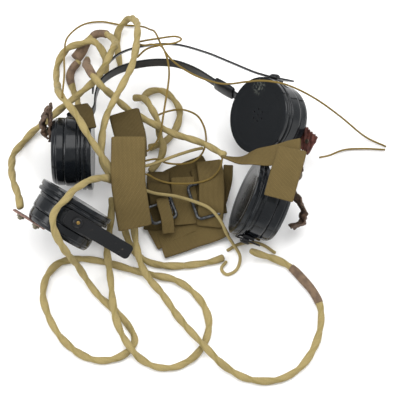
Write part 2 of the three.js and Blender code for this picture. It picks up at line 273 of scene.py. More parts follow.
# ======================= materials =======================
def bakelite_finish(name, dust=0.15):
    """Glossy black moulding with a film of dust and fine rub marks."""
    f = Finish(name)
    film = f.noise(16, detail=6, roughness=0.65).step(0.46, 0.72) * dust
    specks = f.noise(1.3, detail=2).step(0.66, 0.74) * (0.35 * dust)
    base = f.blend(film + specks, colours().bakelite, (0.05, 0.053, 0.055))
    rub = f.noise(2.5, detail=5, roughness=0.7)
    f.set(Base_Color=base, Roughness=film * 0.3 + rub * 0.1 + 0.12, Coat_Weight=0.06)
    f.set(Coat_Roughness=0.1, Specular_IOR_Level=0.22)
    return f.bump(rub, 0.03, 0.35).material


def dusty_face_finish():
    """Matt, dusty listening face with a pale scuff near its upper rim and faint specks."""
    f = Finish("dusty listening face")
    grain = f.noise(0.9, detail=3, roughness=0.7)
    cloud = f.noise(14, detail=5, roughness=0.6).step(0.42, 0.7)
    scratch = f.noise(1.6, detail=5, roughness=0.75, stretch=(1.0, 0.45, 1.0))
    scuff = f.near((47, 84, 56), 9) * scratch.step(0.5, 0.6)
    middle = f.near((42, 61, 46), 15) * grain.step(0.62, 0.74) * 0.35
    dust = cloud * grain.step(0.45, 0.8) * 0.14 + middle
    base = f.blend(dust, colours().bakelite, (0.08, 0.085, 0.08))
    base = f.blend(scuff * 0.8, base, (0.2, 0.21, 0.18))
    f.set(Base_Color=base, Roughness=cloud * 0.2 + 0.5, Specular_IOR_Level=0.12)
    return f.bump(grain, 0.06, 0.5).material


def black_steel_finish(name, wear=0.5):
    """Black stoved enamel on steel, rubbed to bare metal in flecks."""
    f = Finish(name)
    fleck = f.noise(3.2, detail=6, roughness=0.75).step(0.62, 0.7) * wear
    film = f.noise(20, detail=4)
    base = f.blend(fleck, (0.008, 0.0085, 0.0095), (0.16, 0.13, 0.1))
    f.set(Base_Color=base, Metallic=fleck * 0.9, Roughness=film * 0.25 + fleck * 0.2 + 0.22)
    f.set(Specular_IOR_Level=0.22)
    return f.bump(f.noise(1.2, detail=4), 0.04, 0.4).material


def bare_metal_finish(name, low, high, roughness=0.4):
    """Tarnished metal between two tones."""
    f = Finish(name)
    tarnish = f.noise(3, detail=6, roughness=0.7).step(0.35, 0.7)
    fine = f.noise(0.7, detail=4)
    f.set(Base_Color=f.blend(tarnish, low, high), Metallic=0.9)
    f.set(Roughness=tarnish * 0.25 + fine * 0.15 + (roughness - 0.15))
    return f.bump(fine, 0.05, 0.5).material


def webbing_finish(name="khaki webbing", tone=1.0):
    """Ribbed plain weave on the strap's own UV map, in mm across and along, with fading,
    grime and rust-brown stains."""
    f = Finish(name)
    across, along = f.across_and_along()
    turn = TURN / (sizes().weave_pitch / MM)
    warp = (across * turn).sine()
    weft = (along * (turn * 1.7)).sine()
    weave = warp.size() * 0.65 + (warp * weft) * 0.35
    fuzz = f.noise(0.5, detail=3, roughness=0.7)
    fade = f.noise(26, detail=5, roughness=0.6).step(0.35, 0.7)
    stain = f.noise(13, detail=6, roughness=0.7).step(0.6, 0.74)
    # A tone below 1 darkens the whole strap: painted shade for straps that lie in shade.
    khaki = [c * tone for c in colours().webbing]
    pale = [c * 1.45 for c in khaki]
    base = f.blend(fade * 0.5, khaki, pale)
    base = f.blend(stain * 0.5, base, (0.1, 0.058, 0.022))
    base = f.blend((1 - weave.size()) * 0.85, base, [c * 0.3 for c in khaki])
    base = f.blend(fuzz.step(0.5, 0.75) * 0.3, base, [c * 1.7 for c in khaki])
    f.set(Base_Color=base, Roughness=0.95, Specular_IOR_Level=0.08)
    return f.bump(weave * 0.7 + fuzz * 0.5, 0.35, 0.7).material


def cotton_finish(name="twisted cotton", straw=None, groove=True):
    """Fine diamond braid on the cord's own UV map, with grime, orange stains, and olive
    painted shade in the lay's grooves that is deeper where there is grime."""
    f = Finish(name)
    around, along = f.across_and_along()
    strands, slant = around * (TURN * 7), along * 2.6
    braid = (strands + slant).sine() * (strands - slant).sine()
    fibre = f.noise(0.6, detail=4, roughness=0.7)
    grime = f.noise(18, detail=6, roughness=0.65).step(0.42, 0.7)
    orange = f.noise(11, detail=5, roughness=0.7).step(0.62, 0.74)
    brown = f.noise(3.4, detail=5, roughness=0.75).step(0.64, 0.76)
    straw = straw or colours().cotton
    olive = (0.17, 0.135, 0.04)
    base = f.blend(fibre.step(0.3, 0.75) * 0.35, [c * 0.78 for c in straw], [c * 1.2 for c in straw])
    base = f.blend(grime * 0.6, base, [c * 0.58 for c in straw])
    base = f.blend(orange * 0.45, base, (0.33, 0.17, 0.04))
    base = f.blend(brown * 0.6, base, (0.11, 0.065, 0.028))
    base = f.blend(braid.step(0.05, 0.8) * 0.35, base, [c * 0.45 for c in straw])
    # Olive painted shade in the lay's grooves, deepened where there is grime.
    if groove:
        valley = (1 - (around * TURN).sine().size()).step(0.4, 1.0)
        base = f.blend(valley * (grime * 0.5 + 0.3), base, olive)
    f.set(Base_Color=base, Roughness=0.92, Sheen_Weight=0.06, Specular_IOR_Level=0.1)
    return f.bump(braid * 0.35 + fibre * 0.6, 0.22, 0.6).material


def whipping_finish():
    """Waxed brown thread: its turns are real ridges, so this is only fibre and grime."""
    f = Finish("waxed whipping thread")
    fibre = f.noise(0.5, detail=4, roughness=0.7)
    grime = f.noise(5, detail=5).step(0.4, 0.7)
    base = f.blend(grime * 0.7, (0.15, 0.095, 0.055), (0.05, 0.028, 0.017))
    base = f.blend(fibre.step(0.5, 0.8) * 0.3, base, (0.26, 0.18, 0.11))
    f.set(Base_Color=base, Roughness=0.75)
    return f.bump(fibre, 0.12, 0.5).material


def fibre_finish(name, low, high):
    """Pressed fibre or old leather: mottled, cracked and dry."""
    f = Finish(name)
    mottle = f.noise(4, detail=6, roughness=0.7)
    inputs = {"Vector": f.place(), "Scale": 1 / (2.2 * MM)}
    crack = f.node("ShaderNodeTexVoronoi", {"feature": "DISTANCE_TO_EDGE"}, inputs)
    seam = 1 - crack.step(0.0, 0.09)
    base = f.blend(mottle.step(0.35, 0.68), low, high)
    base = f.blend(seam * 0.6, base, [c * 0.3 for c in low])
    f.set(Base_Color=base, Roughness=mottle * 0.25 + 0.6)
    return f.bump(mottle - seam * 0.4, 0.25, 0.6).material


def floor_finish():
    f = Finish("pale table")
    f.set(Base_Color=(0.93, 0.93, 0.93, 1), Roughness=0.9, Specular_IOR_Level=0.1)
    return f.material


# ======================= surfaces =======================
def unit(v):
    v = np.asarray(v, float)
    return v / np.maximum(np.linalg.norm(v, axis=-1, keepdims=True), 1e-12)


def route(points, step=1.0):
    """Centripetal Catmull-Rom curve through the points, cut into even steps: on each span
    a cubic whose end slopes come from the neighbouring spans, weighted by the square root
    of their lengths."""
    p = np.array(points, float)
    p = np.vstack([2 * p[0] - p[1], p, 2 * p[-1] - p[-2]])
    p0, p1, p2, p3 = p[:-3], p[1:-2], p[2:-1], p[3:]
    d0, d1, d2 = (
        np.sqrt(np.linalg.norm(b - a, axis=1))[:, None] for a, b in ((p0, p1), (p1, p2), (p2, p3))
    )
    m1 = ((p1 - p0) / d0 - (p2 - p0) / (d0 + d1) + (p2 - p1) / d1) * d1
    m2 = ((p2 - p1) / d1 - (p3 - p1) / (d1 + d2) + (p3 - p2) / d2) * d1
    t = np.linspace(0, 1, 24, endpoint=False)[None, :, None]
    c1, c2 = p1[:, None], (p2 - p1)[:, None]
    m1, m2 = m1[:, None], m2[:, None]
    spans = c1 + m1 * t + (3 * c2 - 2 * m1 - m2) * t**2 + (m1 + m2 - 2 * c2) * t**3
    return even(np.vstack([spans.reshape(-1, 3), p[-2]]), step)


def even(line, step):
    """The same line with points at even distances along it."""
    run = travel(line)
    count = max(2, round(run[-1] / step)) + 1
    at = np.linspace(0, run[-1], count)
    return np.stack([np.interp(at, run, line[:, k]) for k in range(line.shape[1])], axis=1)


def travel(path):
    """Distance along a path to each of its points."""
    return np.concatenate([[0], np.cumsum(np.linalg.norm(np.diff(path, axis=0), axis=1))])


def ball_directions(count=400):
    """Directions spread evenly over a ball, on a golden-angle spiral."""
    i = np.arange(count) + 0.5
    height = 1 - 2 * i / count
    around = np.pi * (1 + 5**0.5) * i
    flat = np.sqrt(1 - height**2)
    return np.stack([flat * np.cos(around), flat * np.sin(around), height], axis=1)


def untwisted(path):
    """Direction along a path and two sideways ones that don't turn about it: a fixed
    direction is made square to the path, and its summed turn is undone."""
    along = unit(np.gradient(path, axis=0))
    tries = ball_directions()
    fixed = tries[np.abs(along @ tries.T).max(axis=0).argmin()]
    side = unit(fixed - (along @ fixed)[:, None] * along)
    other = np.cross(along, side)
    swing = np.einsum("ij,ij->i", side[1:] - side[:-1], (other[1:] + other[:-1]) / 2)
    turn = np.concatenate([[0], np.cumsum(swing)])[:, None]
    cos, sin = np.cos(turn), np.sin(turn)
    return along, side * cos - other * sin, other * cos + side * sin


def skin(name, rings, uv=None, loop=False, finish=None, body=ROOT, smooth=True):
    """Closed skin over rings of points, shaped (ring, point, xyz) in mm. Quads join each
    ring to the next; the two ends are closed by one face each, or joined when loop is
    set. uv gives (across, along) for a ring's points plus one, shaped (ring, point + 1, 2).
    The faces are turned outwards by the sign of the volume."""
    count, around = rings.shape[:2]
    points = rings.reshape(-1, 3) * MM
    i = np.arange(count if loop else count - 1)[:, None]
    j = np.arange(around)[None, :]
    after, beside = (i + 1) % count, (j + 1) % around
    quads = np.stack(
        [i * around + j, i * around + beside, after * around + beside, after * around + j], axis=-1
    ).reshape(-1, 4)
    a, b, c, d = (points[quads[:, k]] for k in range(4))
    volume = np.einsum("ij,ij->i", a, np.cross(b, c)).sum()
    volume += np.einsum("ij,ij->i", a, np.cross(c, d)).sum()
    if not loop:
        for ring, sign in ((rings[0], -1), (rings[-1], 1)):
            ring = ring * MM
            fan = np.cross(ring, np.roll(ring, -1, axis=0))
            volume += sign * (fan @ ring.mean(axis=0)).sum()
    inside_out = volume < 0
    faces = (quads[:, ::-1] if inside_out else quads).tolist()
    if not loop:
        first, last = list(range(around))[::-1], list(range((count - 1) * around, count * around))
        faces += [f[::-1] if inside_out else f for f in (first, last)]
    mesh = bpy.data.meshes.new(name)
    mesh.from_pydata(points.tolist(), [], faces)
    flags = np.full(len(faces), smooth)
    flags[len(quads):] = False
    mesh.polygons.foreach_set("use_smooth", flags)
    if uv is not None:
        after = i + 1
        corners = [uv[i, j], uv[i, j + 1], uv[after % len(uv), j + 1], uv[after % len(uv), j]]
        grid = np.stack(corners, axis=2).reshape(-1, 4, 2)
        if inside_out:
            grid = grid[:, ::-1]
        flat = grid.reshape(-1, 2)
        ends = np.zeros((len(mesh.loops) - len(flat), 2))
        mesh.uv_layers.new(name="UVMap").data.foreach_set(
            "uv", np.vstack([flat, ends]).astype(np.float32).ravel()
        )
    mesh.validate()
    return piece(name, mesh, finish, body)


def piece(name, mesh, finish, body):
    """The mesh as an object of its own, on its body, with its finish when one is given."""
    if name in bpy.data.objects:
        raise RuntimeError(f"there are two pieces named {name}")
    obj = bpy.data.objects.new(name, mesh)
    bpy.context.scene.collection.objects.link(obj)
    if finish:
        mesh.materials.append(finish)
    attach(obj, body)
    return obj


def skin_uv(rings, span):
    """UV map of a skin: from 0 to span around it, and mm along it."""
    count, around = rings.shape[:2]
    along = np.repeat(travel(rings.mean(axis=1))[:, None], around + 1, axis=1)
    across = np.repeat(np.linspace(0, span, around + 1)[None], count, axis=0)
    return np.stack([across, along], axis=-1)


def full_turn(count):
    """Angles spread evenly round a circle."""
    return np.linspace(0, TURN, count, endpoint=False)


def carried(path, side, other, x, y):
    """Rings along a path, with their points x along one sideways direction and y along
    the other."""
    return path[:, None] + side[:, None] * x[..., None] + other[:, None] * y[..., None]


def tube_rings(path, radius, sides=12):
    """Circles of that radius square to a path, with the ends drawn in to a dome."""
    along, side, other = untwisted(path)
    angle = full_turn(sides)[None]
    rings = carried(path, side, other, radius * np.cos(angle), radius * np.sin(angle))
    return domed(rings, along, radius * 0.5)


def domed(rings, along, reach):
    """Adds three shrinking rings at each end, on a quarter of an ellipse."""
    rise = np.sin(np.radians([30, 60, 85]))[:, None, None] * reach
    shrink = np.cos(np.radians([30, 60, 85]))[:, None, None]
    start = rings[0].mean(axis=0)
    end = rings[-1].mean(axis=0)
    head = start + (rings[0] - start) * shrink - along[0] * rise
    tail = end + (rings[-1] - end) * shrink + along[-1] * rise
    return np.concatenate([head[::-1], rings, tail])


def above_table(rings):
    """The same rings with nothing below the table top."""
    rings[..., 2] = np.maximum(rings[..., 2], 0)
    return rings


def spun(angle):
    """Matrix that turns row vectors about the Z axis."""
    cos, sin = np.cos(angle), np.sin(angle)
    return np.array([[cos, sin, 0], [-sin, cos, 0], [0, 0, 1]])


def rounded(profile, radius, steps=5):
    """A profile with each inner corner swapped for an arc of that radius, or less where a
    side is short: points of the quadratic curve between two points on the corner's sides,
    with a support point just outside each."""
    p = np.array(profile, float)
    before, corner, after = p[:-2], p[1:-1], p[2:]
    to_before, to_after = before - corner, after - corner
    lengths = np.minimum(np.linalg.norm(to_before, axis=1), np.linalg.norm(to_after, axis=1))
    cut = np.minimum(radius, lengths * 0.42)[:, None]
    a, b = corner + unit(to_before) * cut, corner + unit(to_after) * cut
    t = np.linspace(0, 1, steps)[None, :, None]
    arc = a[:, None] * (1 - t) ** 2 + 2 * corner[:, None] * t * (1 - t) + b[:, None] * t**2
    lead_in = (a + unit(to_before) * cut * 0.12)[:, None]
    lead_out = (b + unit(to_after) * cut * 0.12)[:, None]
    body = np.concatenate([lead_in, arc, lead_out], axis=1).reshape(-1, 2)
    return np.vstack([p[:1], body, p[-1:]])


def turned_rings(profile, sides=96):
    """A profile of (radius, height) carried round the Z axis."""
    angle = full_turn(sides)
    r, z = np.maximum(profile[:, 0], 0.02), profile[:, 1]
    x = r[:, None] * np.cos(angle)
    y = r[:, None] * np.sin(angle)
    return np.stack([x, y, np.broadcast_to(z[:, None], x.shape)], axis=-1)


def outline(width, height, corner, steps=6):
    """Corner points of a rounded rectangle centred on zero, anticlockwise."""
    angle = np.radians(np.linspace(0, 90, steps))[None] + np.radians([[0], [90], [180], [270]])
    sx, sy = np.array([1, -1, -1, 1]), np.array([1, 1, -1, -1])
    x = sx[:, None] * (width / 2 - corner) + corner * np.cos(angle)
    y = sy[:, None] * (height / 2 - corner) + corner * np.sin(angle)
    return np.stack([x.ravel(), y.ravel()], axis=1)


def slab_rings(edge, low, high, bevel):
    """An outline drawn out from low to high, with its edges rounded: each level's outline
    is drawn in towards the middle by the bevel's quarter circle."""
    middle = edge.mean(axis=0)
    arm = edge - middle
    reach = np.linalg.norm(arm, axis=1, keepdims=True)
    angle = np.radians(np.linspace(0, 90, 4))
    inward, upward = bevel * (1 - np.sin(angle)), bevel * (1 - np.cos(angle))
    inset = np.concatenate([inward, inward[::-1]])
    level = np.concatenate([low + upward, high - upward[::-1]])
    shapes = middle + arm[None] * (1 - inset[:, None, None] / reach[None])
    heights = np.broadcast_to(level[:, None, None], (*shapes.shape[:2], 1))
    return np.concatenate([shapes, heights], axis=-1)


def seat(points, face, back, towards):
    """Points from a receiver's own axes, +Z to its back and +X in the direction given, to
    the frame."""
    z = unit(back)
    x = np.array(towards, float)
    x = unit(x - (x @ z) * z)
    y = np.cross(z, x)
    return points @ np.stack([x, y, z]) + np.array(face, float)


def on_lug(points, name):
    """The same, for points with X along a receiver's lug."""
    return seat(points, *RECEIVERS[name][:3])


def on_tab(points, name):
    """The same, for points with X along a receiver's terminal tab."""
    face, back, _, tab = RECEIVERS[name]
    return seat(points, face, back, tab)


def across_lug(rings):
    """Turns a shape drawn in (Y, Z) with its height along X into the receiver's axes."""
    return rings[..., [2, 0, 1]]


def ribbon_rings(points, widthways, width, thick, step=1.5, crown=0.0, ripple=0.0, across=28):
    """A strap along a path: its section is a flat rounded oblong, across by thick, whose
    width runs in the direction given at each point. crown bends the section, and ripple
    adds slow waves that are strongest at the strap's edges."""
    p = np.array(points, float)
    line = route(p, step)
    run = travel(line)
    joints = travel(p)
    at = run / run[-1] * joints[-1]
    ways = np.stack([np.interp(at, joints, np.array(widthways, float)[:, k]) for k in range(3)], axis=1)
    along = unit(np.gradient(line, axis=0))
    wide = unit(ways - np.einsum("ij,ij->i", ways, along)[:, None] * along)
    face = np.cross(along, wide)
    u = np.linspace(-1, 1, across)
    squareness = 14
    edge = np.sqrt(np.maximum(0, 1 - np.abs(u) ** squareness))
    top = np.stack([u * width / 2, edge * thick / 2], axis=1)
    low = np.stack([u[::-1] * width / 2, -edge[::-1] * thick / 2], axis=1)[1:-1]
    section = np.concatenate([top, low])
    share = section[:, 0] / (width / 2)
    lift = crown * (1 - share**2)[None] + ripple * share[None] ** 2 * (
        np.sin(run[:, None] / 7.3 + share * 1.4) + 0.6 * np.sin(run[:, None] / 3.9 - share * 2.2)
    )
    return carried(line, wide, face, section[None, :, 0], section[None, :, 1] + lift)


def drawn_in(rings, amount=0.35):
    """Adds one smaller ring just outside each end, so a strap's cut end is soft."""
    start, end = rings[0].mean(axis=0), rings[-1].mean(axis=0)
    head = start + (rings[0] - start) * 0.94 + (rings[0] - rings[1]) * amount
    tail = end + (rings[-1] - end) * 0.94 + (rings[-1] - rings[-2]) * amount
    return np.concatenate([head[None], rings, tail[None]])


# ======================= routes, in mm =======================
# Each cord from one end of its run to the other.
CORDS = {
    "lower_left_lead": [
        (-141, -16.5, 42.3), (-143, -6, 40), (-148, 9, 32), (-152, 28, 20), (-152, 47, 9),
        (-146, 59, 4), (-138, 69, 5), (-126, 73, 16), (-113, 75, 34), (-101, 80, 44), (-91, 89, 45),
        (-84, 98, 43.5), (-77, 110, 45), (-72, 123, 45), (-70, 136, 34), (-74, 150, 20),
        (-81, 159, 11), (-88, 160, 8), (-94, 154, 8),
    ],
    "right_leg": [
        (-94.5, 135, 8.5), (-94, 122, 24), (-91, 107, 46), (-86, 94, 55), (-79, 85, 54), (-70, 81, 44),
        (-60, 76, 34), (-49, 70, 30), (-37, 64, 28), (-19, 54, 29), (-7, 49, 31), (4, 43, 34),
        (12, 36, 38), (19, 29.5, 42),
    ],
    "left_leg": [
        (-102, 134, 7), (-107, 129, 4), (-109, 122, 3), (-106, 110, 3), (-102, 98, 8), (-100, 87, 16),
    ],
    "apex_loop": [
        (-67, 132, 3), (-70, 152, 3), (-69, 165, 6), (-61, 170, 16), (-53, 156, 36), (-51, 138, 52),
        (-52, 120, 54), (-55, 104, 54), (-60, 90, 56), (-68, 72, 57), (-74, 58, 56), (-77, 46, 53),
        (-78, 31, 50), (-77, 21, 47), (-72, 12, 42),
    ],
    "left_loop": [
        (-79, 122, 10), (-79, 131, 17), (-83, 140, 20), (-90, 146, 21), (-100, 145, 18),
        (-111, 144, 12), (-119, 135, 5), (-120, 120, 8), (-117, 101, 22), (-115, 88, 42),
        (-112, 75, 60), (-105, 62, 68), (-96, 49, 69), (-89, 36, 68), (-81, 24, 65), (-74, 15, 59),
        (-68, 8, 53),
    ],
    "long_lead": [
        (-60, 0, 42), (-66, 2, 48), (-73, 1, 58), (-79, -3, 66), (-85, -8, 73), (-91, -15, 79),
        (-97, -21, 81.5), (-102, -27, 80), (-108, -32, 77), (-112, -38, 74), (-112, -45, 69),
        (-109, -52, 62), (-105, -56, 52), (-101, -57, 38), (-96, -58, 22), (-89, -65, 8), (-80, -76, 4),
        (-69, -86, 3), (-56, -101, 3), (-51, -113, 3), (-57, -123, 3), (-69, -129, 3), (-83, -129, 3),
        (-97, -122, 3), (-110, -109, 3), (-119, -93, 3), (-124, -76, 3), (-122, -60, 3),
        (-113, -48, 3), (-99, -44, 3), (-84, -45, 3), (-68, -49, 3), (-52, -54, 3), (-36, -58, 3),
        (-20, -62, 3), (-7, -71, 3), (3, -84, 3), (7, -99, 3), (4, -114, 3), (-5, -127, 3),
        (-19, -135, 3), (-34, -135, 3), (-47, -128, 4), (-57, -117, 9), (-64, -103, 10),
        (-68, -87, 10), (-70, -70, 9.5), (-72, -54, 9.5), (-74, -40, 9), (-73, -28, 10), (-71, -16, 18),
        (-70, -4, 30),
    ],
    "right_loop": [
        (-54, -2, 30), (-53, -14, 24), (-52, -27, 18), (-50, -40, 15), (-47, -52, 13), (-40, -64, 9.5),
        (-30, -75, 6), (-17, -94, 4), (-6, -109, 8), (5, -122, 9.5), (15, -132, 7), (25, -139, 4),
        (38, -145, 3), (58, -146, 3), (75, -138, 3), (87, -123, 3), (94, -104, 3), (95, -86, 3), (90, -73, 3),
        (82, -62, 3), (72, -51, 3), (61, -45, 4), (49, -43, 9), (41, -42, 14),
    ],
    "strap_cord": [
        (-63, 2, 38), (-63, -8, 27), (-61, -19, 16), (-57, -30, 6), (-50, -40, 3), (-40, -47, 3),
        (-24, -50, 3), (-6, -49, 3), (10, -46, 3), (18, -43, 3),
    ],
    "tangle_ring": [
        (-48, 100, 6), (-42, 106, 6), (-32, 107, 6), (-23, 100, 6), (-17, 89, 6), (-18, 77, 6),
        (-23, 66, 6), (-31, 58, 6), (-41, 54, 6),
    ],
    "tangle_bight": [
        (-54, 97, 12), (-46, 93, 18), (-39, 81, 21), (-34, 69, 20), (-33, 59, 18), (-30, 50, 15),
        (-33, 41, 9), (-40, 32, 8),
    ],
}

# Thin cloth-covered wires, the same way.
WIRES = {
    "wire_long": [
        (-109, 66, 70), (-109, 92, 58), (-112, 129, 30), (-111, 154, 14), (-99, 172, 4), (-85, 176, 2),
        (-68, 173, 2), (-52, 171, 3), (-42, 152, 30), (-36, 135, 52), (-31, 122, 54), (-25, 115, 48),
        (-16, 109, 43), (-2, 100, 43), (15, 91, 48), (25, 85, 58), (36, 79, 72), (49, 74, 83),
        (61, 73, 82), (75, 77, 66), (95, 80, 40), (116, 78, 14), (137, 65, 3), (153, 57, 2),
    ],
    "wire_return": [(152, 54, 2), (136, 55, 2), (119, 54, 2), (106, 46, 8), (97, 38, 20)],
    "wire_arc": [
        (-51, 115, 48), (-44, 120, 52), (-32, 120, 59), (-19, 122, 60), (-15, 125, 60), (-19, 128, 59),
        (-37, 128, 55), (-47, 129, 50), (-52, 128, 49), (-46, 124, 52), (-38, 119, 62), (-31, 116, 64),
        (-27, 110, 58), (-25, 101, 50), (-26, 88, 46), (-28, 75, 44), (-30, 62, 40), (-32, 53, 34),
        (-36, 46, 29), (-42, 41, 26.5), (-48, 38, 26), (-51, 35, 24.5), (-48, 33, 22.5),
        (-41, 35, 21.5), (-35, 36, 21), (-27, 33, 20), (-16, 32, 20), (-6, 34, 20), (1, 41, 19),
        (4, 50, 16), (5, 60, 12), (3, 71, 12), (-3, 81, 12), (-15, 86, 12), (-26, 84, 13),
        (-33, 80, 15), (-37, 77, 16),
    ],
    "wire_swag": [
        (-50, 21, 24), (-43, 21, 24), (-36, 18, 22), (-27, 15, 21), (-14, 14, 21), (-2, 15, 21),
        (9, 19, 21), (16, 28, 21), (18, 36, 22),
    ],
}

# Thin leads, a little thicker and paler than the wires.
LEADS = {
    "lead_over_pile": [
        (21, -46, 2.2), (17, -52, 2), (21, -57, 2), (29, -53, 2), (32, -42, 3), (26, -32, 7),
        (21, -26, 13), (17, -19, 19), (8, -9, 23), (-4, -3, 23), (-20, 2, 23), (-36, 5, 22), (-44, 8, 22),
        (-51, 13, 23), (-54, 20, 25), (-50, 26, 26), (-43, 28, 25), (-33, 32, 24), (-20, 38, 23),
        (-6, 44, 21), (2, 46, 21),
    ],
    "thin_lead": [(22, -36, 1.6), (30, -31, 1.6), (40, -29, 1.6), (50, -31, 1.6), (60, -38, 1.6)],
}

# Thread wound round a cord: the cord, where it starts and ends as a share of the run,
# and its radius.
WHIPPINGS = {
    "lead": ("lower_left_lead", 0.925, 0.985, 3.3),
    "left_leg": ("left_leg", 0.02, 0.42, 3.3),
    "right_leg": ("right_leg", 0.03, 0.32, 3.35),
    "right_loop": ("right_loop", 0.795, 0.9, 3.4),
}

# Folded webbing in the middle: middle line, width, thickness.
FOLDS = {
    "fold_shaded": (((-34, 17, 6), (-24, 23, 7.4), (-12, 29, 7.8), (0, 34, 7.8), (6, 37, 7)), 21, 2.2),
    "fold_left": (
        ((-34, 30, 8), (-34, 22, 13.5), (-33.5, 14, 18.6), (-32, 7, 18.6), (-31, 1, 13.6)), 18, 2.2,
    ),
    "fold_side": (((-36, 22, 5), (-36, 8, 7), (-37, -6, 7), (-38, -19, 4.6)), 15, 2.4),
    "fold_middle": (((-13, 24, 10.4), (-12.4, 13, 11), (-11.3, -2, 11), (-10, -16, 9)), 22, 2.4),
    "fold_right": (
        (
            (7, 39, 10), (8, 31, 14), (9, 22, 18.6), (9.5, 8, 18.9), (9, -6, 18.6), (8, -13, 14),
            (7.4, -18, 9.6),
        ),
        21, 2,
    ),
    "fold_under": (((2, 34, 9), (6, 22, 11.6), (9, 6, 12), (11, -8, 10)), 22, 2.2),
    "fold_bottom": (
        ((-31, -32, 3.4), (-18, -28, 4.8), (-4, -23, 5.6), (9, -18.5, 6), (18, -14, 6.4)), 24, 2.6,
    ),
    "fold_low": (((-38, -26, 3), (-24, -19, 5), (-9, -12, 6.4), (4, -7, 6.6)), 22, 2.2),
    "fold_edge": (((23, 34, 12.5), (22, 20, 13), (18.5, 6, 11.4), (15, -6, 9)), 8, 2.2),
    "buckle_tongue": (
        ((-31, 5, 14), (-30, 0, 18.6), (-29, -5, 19.2), (-27, -12, 19), (-26, -17, 19), (-25, -25, 12.6)),
        10, 2.2,
    ),
}

# The folds that lie in shade: they get the darker webbing as painted shade.
SHADED = ("fold_shaded", "fold_left", "fold_side", "fold_under", "fold_edge")


# ======================= receivers =======================
def moulding(name, part, profile, finish):
    """A turned part of a receiver, with its moulded edges rounded."""
    rings = on_lug(turned_rings(rounded(profile, sizes().edge_round / MM)), name)
    return skin(f"{name}_{part}", rings, finish=finish, body=f"{name}_receiver")


def ear_cap(name, finish):
    """Screwed cap: a turned profile with two rim ridges, and seven sound holes."""
    profile = [
        (0, 0.25), (24, 0.25), (26.5, 0), (CAP_R - 0.2, 0), (CAP_R, 0.9), (CAP_R, 3.5),
        (CAP_R - 1.1, 4.1), (CAP_R - 1.1, 4.9), (CAP_R, 5.5), (CAP_R, CAP_DEPTH - 0.3),
        (CAP_R - 0.6, CAP_DEPTH), (26.8, CAP_DEPTH), (26.8, 3), (0, 3),
    ]
    cap = moulding(name, "cap", profile, finish)
    drill(cap, name)
    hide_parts(f"{name}_ear_cap")


def drill(cap, name):
    """Cuts one middle hole and a ring of six through the cap's face, and shades its flat
    faces flat."""
    ring = np.radians(np.arange(6) * 60)
    centres = np.vstack([[0, 0], SOUND_HOLE_RING * np.stack([np.cos(ring), np.sin(ring)], axis=1)])
    bit = turned_rings(np.array([(0, -1), (SOUND_HOLE_R, -1), (SOUND_HOLE_R, 4), (0, 4)], float), 20)
    bits = []
    for k, (x, y) in enumerate(centres):
        bits.append(skin(f"{name}_bit_{k}", on_lug(bit + (x, y, 0), name), smooth=False))
    for bit_piece in bits:
        cutter = cap.modifiers.new("hole", "BOOLEAN")
        cutter.object = bit_piece
        cutter.solver = "EXACT"
    settle(cap)
    flat = np.abs(of_faces(cap.data, "normal") @ unit(RECEIVERS[name][1])) > 0.999
    cap.data.polygons.foreach_set("use_smooth", ~flat)
    for bit_piece in bits:
        bpy.data.objects.remove(bit_piece)


def of_faces(mesh, key):
    """A vector of every face of a mesh, one row for each."""
    values = np.zeros(len(mesh.polygons) * 3, np.float32)
    mesh.polygons.foreach_get(key, values)
    return values.reshape(-1, 3)


def settle(obj):
    """Applies every modifier, so that only the finished mesh is left."""
    bpy.context.view_layer.update()
    done = obj.evaluated_get(bpy.context.evaluated_depsgraph_get())
    mesh = bpy.data.meshes.new_from_object(done)
    obj.modifiers.clear()
    obj.data = mesh


def case(name, finish):
    """Body of the receiver, with a rolled bead next to the cap and a groove before its end."""
    profile = [
        (0, 19.6), (23.8, 19.6), (23.8, 4.4), (26.2, 4.4), (26.2, 8.3), (CASE_R - 0.5, 8.3),
        (CASE_R, 8.8), (CASE_R, 10.4), (CASE_R - 0.7, 11), (CASE_R - 0.7, 11.6),
        (CASE_R - 0.15, 12.1), (CASE_R, 20.2), (CASE_R - 0.6, 21.7), (0, 21.7),
    ]
    made = moulding(name, "body", profile, finish)
    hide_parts(f"{name}_case")


def back_cover(name, finish):
    """Domed back with a shallow ring sunk in its flat end."""
    depth = RECEIVER_DEPTH
    profile = [
        (0, depth - 2.6), (24, depth - 2.6), (24, CASE_END), (COVER_R - 0.4, CASE_END),
        (COVER_R, 22.5), (COVER_R, 27.6), (COVER_R - 0.5, 28.2), (COVER_R - 0.5, 29.4),
        (COVER_R - 2.2, depth - 0.2), (21, depth), (20.2, depth - 0.6), (18.4, depth - 0.6),
        (17.6, depth), (0, depth),
    ]
    made = moulding(name, "back", profile, finish)
    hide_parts(f"{name}_back_cover")


def lug(name, steel, brass):
    """Saddle plate on the case, a shank through the band's end plate, and a riveted head
    with a worn eye."""
    body = f"{name}_receiver"
    saddle = slab_rings(outline(12, 11, 2.5) + (0, PIVOT_AT + 0.5), LUG_SEAT - 0.5, LUG_SEAT + 2.2, 0.5)
    saddle = on_lug(across_lug(saddle), name)
    made = skin(f"{name}_saddle", saddle, finish=steel, body=body)
    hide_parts(f"{name}_swivel_lug")
    low, high = LUG_SEAT + 2, LUG_REACH - 1.2
    shank = rounded([(0, low), (RIVET_R, low), (RIVET_R, high), (0, high)], 0.2)
    head_low = END_PLATE_AT + STEEL + 0.3
    head = rounded(
        [
            (0, head_low), (4.4, head_low), (4.3, head_low + 0.7), (3.2, LUG_REACH - 0.2),
            (1.9, LUG_REACH), (1.6, LUG_REACH - 0.4), (0, LUG_REACH - 0.4),
        ],
        0.4,
    )
    low = LUG_REACH - 0.6
    eye = rounded([(0, low), (1.4, low), (1.4, low + 0.45), (0, low + 0.7)], 0.2)
    for part, profile, finish in (("shank", shank, steel), ("rivet", head, steel), ("rivet_eye", eye, brass)):
        rings = across_lug(turned_rings(profile, 32)) + (0, 0, PIVOT_AT)
        skin(f"{name}_{part}", on_lug(rings, name), finish=finish, body=body)


